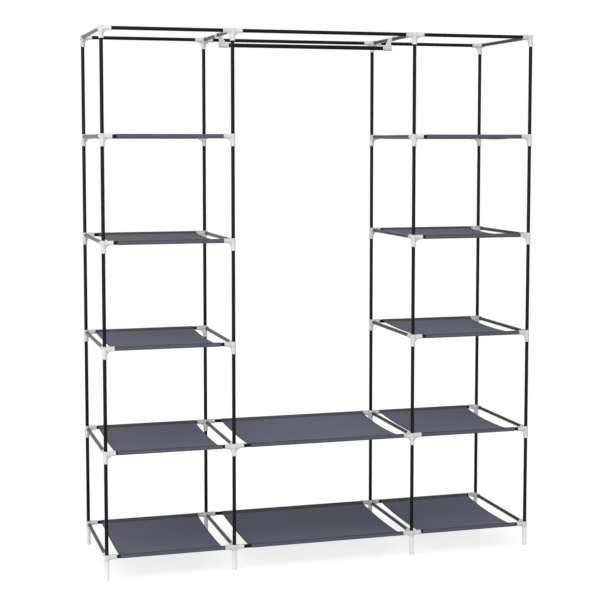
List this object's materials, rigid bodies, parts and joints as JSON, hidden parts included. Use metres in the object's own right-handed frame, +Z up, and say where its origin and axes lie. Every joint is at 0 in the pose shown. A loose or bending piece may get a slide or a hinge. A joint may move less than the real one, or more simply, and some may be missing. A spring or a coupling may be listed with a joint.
{
  "type": "portable fabric wardrobe",
  "caption": "Free-standing wardrobe frame of thin steel tubes in moulded connectors, with cloth shelves in two towers and below a hanging rod between them.",
  "frame": {"origin": "on the floor under the middle of the frame", "axes": "+X to the right seen from the front, +Y to the back, +Z up"},
  "size_m": [1.476, 0.446, 1.7643],
  "materials": {
    "black_enamel": "gloss",
    "white_plastic": "satin",
    "grey_fabric": "matte"
  },
  "bodies": {
    "frame": {"side_frame_1": "black_enamel", "side_frame_2": "black_enamel", "side_frame_3": "black_enamel", "side_frame_4": "black_enamel", "top_depth_tube_left": "black_enamel", "top_depth_tube_right": "black_enamel", "left_tube_front_1": "black_enamel", "left_tube_back_1": "black_enamel", "left_tube_front_2": "black_enamel", "left_tube_back_2": "black_enamel", "left_tube_front_3": "black_enamel", "left_tube_back_3": "black_enamel", "left_tube_front_4": "black_enamel", "left_tube_back_4": "black_enamel", "left_tube_front_5": "black_enamel", "left_tube_back_5": "black_enamel", "left_tube_front_6": "black_enamel", "left_tube_back_6": "black_enamel", "right_tube_front_1": "black_enamel", "right_tube_back_1": "black_enamel", "right_tube_front_2": "black_enamel", "right_tube_back_2": "black_enamel", "right_tube_front_3": "black_enamel", "right_tube_back_3": "black_enamel", "right_tube_front_4": "black_enamel", "right_tube_back_4": "black_enamel", "right_tube_front_5": "black_enamel", "right_tube_back_5": "black_enamel", "right_tube_front_6": "black_enamel", "right_tube_back_6": "black_enamel", "middle_tube_front_1": "black_enamel", "middle_tube_back_1": "black_enamel", "middle_tube_front_2": "black_enamel", "middle_tube_back_2": "black_enamel", "middle_tube_front_6": "black_enamel", "middle_tube_back_6": "black_enamel", "foot_front_1": "white_plastic", "foot_front_2": "white_plastic", "foot_front_3": "white_plastic", "foot_front_4": "white_plastic", "foot_back_1": "white_plastic", "foot_back_2": "white_plastic", "foot_back_3": "white_plastic", "foot_back_4": "white_plastic"},
    "hanging_rail": {"hanging_rod": "black_enamel", "rod_hook_left": "white_plastic", "rod_hook_right": "white_plastic"},
    "left_shelf_1": {"left_shelf_1": "grey_fabric"},
    "left_shelf_2": {"left_shelf_2": "grey_fabric"},
    "left_shelf_3": {"left_shelf_3": "grey_fabric"},
    "left_shelf_4": {"left_shelf_4": "grey_fabric"},
    "left_shelf_5": {"left_shelf_5": "grey_fabric"},
    "right_shelf_1": {"right_shelf_1": "grey_fabric"},
    "right_shelf_2": {"right_shelf_2": "grey_fabric"},
    "right_shelf_3": {"right_shelf_3": "grey_fabric"},
    "right_shelf_4": {"right_shelf_4": "grey_fabric"},
    "right_shelf_5": {"right_shelf_5": "grey_fabric"},
    "middle_shelf_1": {"middle_shelf_1": "grey_fabric"},
    "middle_shelf_2": {"middle_shelf_2": "grey_fabric"}
  },
  "joints": [
    {"name": "hanging_rail_slide", "type": "slide", "parent": "frame", "child": "hanging_rail", "axis": [0, 1, 0], "range_m": [-0.17, 0.17]},
    {"name": "left_shelf_1_slide", "type": "slide", "parent": "frame", "child": "left_shelf_1", "axis": [1, 0, 0], "range_m": [-0.013, 0]},
    {"name": "left_shelf_2_slide", "type": "slide", "parent": "frame", "child": "left_shelf_2", "axis": [1, 0, 0], "range_m": [-0.0065, 0.0065]},
    {"name": "left_shelf_3_slide", "type": "slide", "parent": "frame", "child": "left_shelf_3", "axis": [1, 0, 0], "range_m": [0, 0.013]},
    {"name": "left_shelf_4_slide", "type": "slide", "parent": "frame", "child": "left_shelf_4", "axis": [1, 0, 0], "range_m": [-0.013, 0]},
    {"name": "left_shelf_5_slide", "type": "slide", "parent": "frame", "child": "left_shelf_5", "axis": [1, 0, 0], "range_m": [-0.013, 0]},
    {"name": "right_shelf_1_slide", "type": "slide", "parent": "frame", "child": "right_shelf_1", "axis": [1, 0, 0], "range_m": [-0.0065, 0.0065]},
    {"name": "right_shelf_2_slide", "type": "slide", "parent": "frame", "child": "right_shelf_2", "axis": [1, 0, 0], "range_m": [0, 0.013]},
    {"name": "right_shelf_3_slide", "type": "slide", "parent": "frame", "child": "right_shelf_3", "axis": [1, 0, 0], "range_m": [-0.013, 0]},
    {"name": "right_shelf_4_slide", "type": "slide", "parent": "frame", "child": "right_shelf_4", "axis": [1, 0, 0], "range_m": [-0.00975, 0.00325]},
    {"name": "right_shelf_5_slide", "type": "slide", "parent": "frame", "child": "right_shelf_5", "axis": [1, 0, 0], "range_m": [-0.013, 0]},
    {"name": "middle_shelf_1_slide", "type": "slide", "parent": "frame", "child": "middle_shelf_1", "axis": [1, 0, 0], "range_m": [-0.025, 0]},
    {"name": "middle_shelf_2_slide", "type": "slide", "parent": "frame", "child": "middle_shelf_2", "axis": [1, 0, 0], "range_m": [-0.025, 0]}
  ]
}
